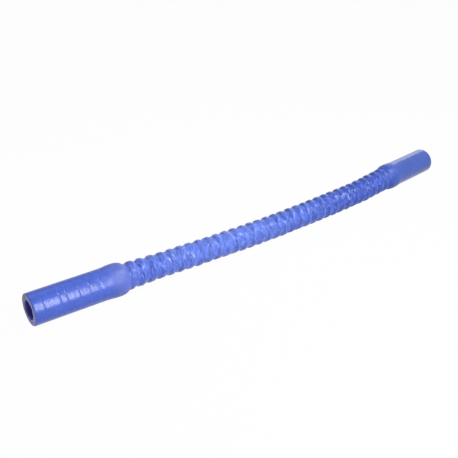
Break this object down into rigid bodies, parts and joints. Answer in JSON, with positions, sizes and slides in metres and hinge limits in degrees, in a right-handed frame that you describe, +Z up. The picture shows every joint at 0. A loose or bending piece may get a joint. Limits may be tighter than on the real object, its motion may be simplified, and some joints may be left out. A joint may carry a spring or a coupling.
{
  "type": "flexible silicone coolant hose",
  "caption": "Flexible blue silicone coolant hose: a helically ribbed middle with a plain thick-walled cuff at each end, open right through.",
  "frame": {"origin": "on the floor, under the middle of the hose's box", "axes": "+X from the thicker near cuff to the thinner far cuff, +Z up from the floor it lies on; the bend bulges towards -Y"},
  "size_m": [0.5012, 0.0384, 0.0293],
  "materials": {
    "blue_silicone": "satin, cured against a wrapping tape"
  },
  "bodies": {
    "root": {"silicone_hose": "blue_silicone"}
  },
  "joints": []
}
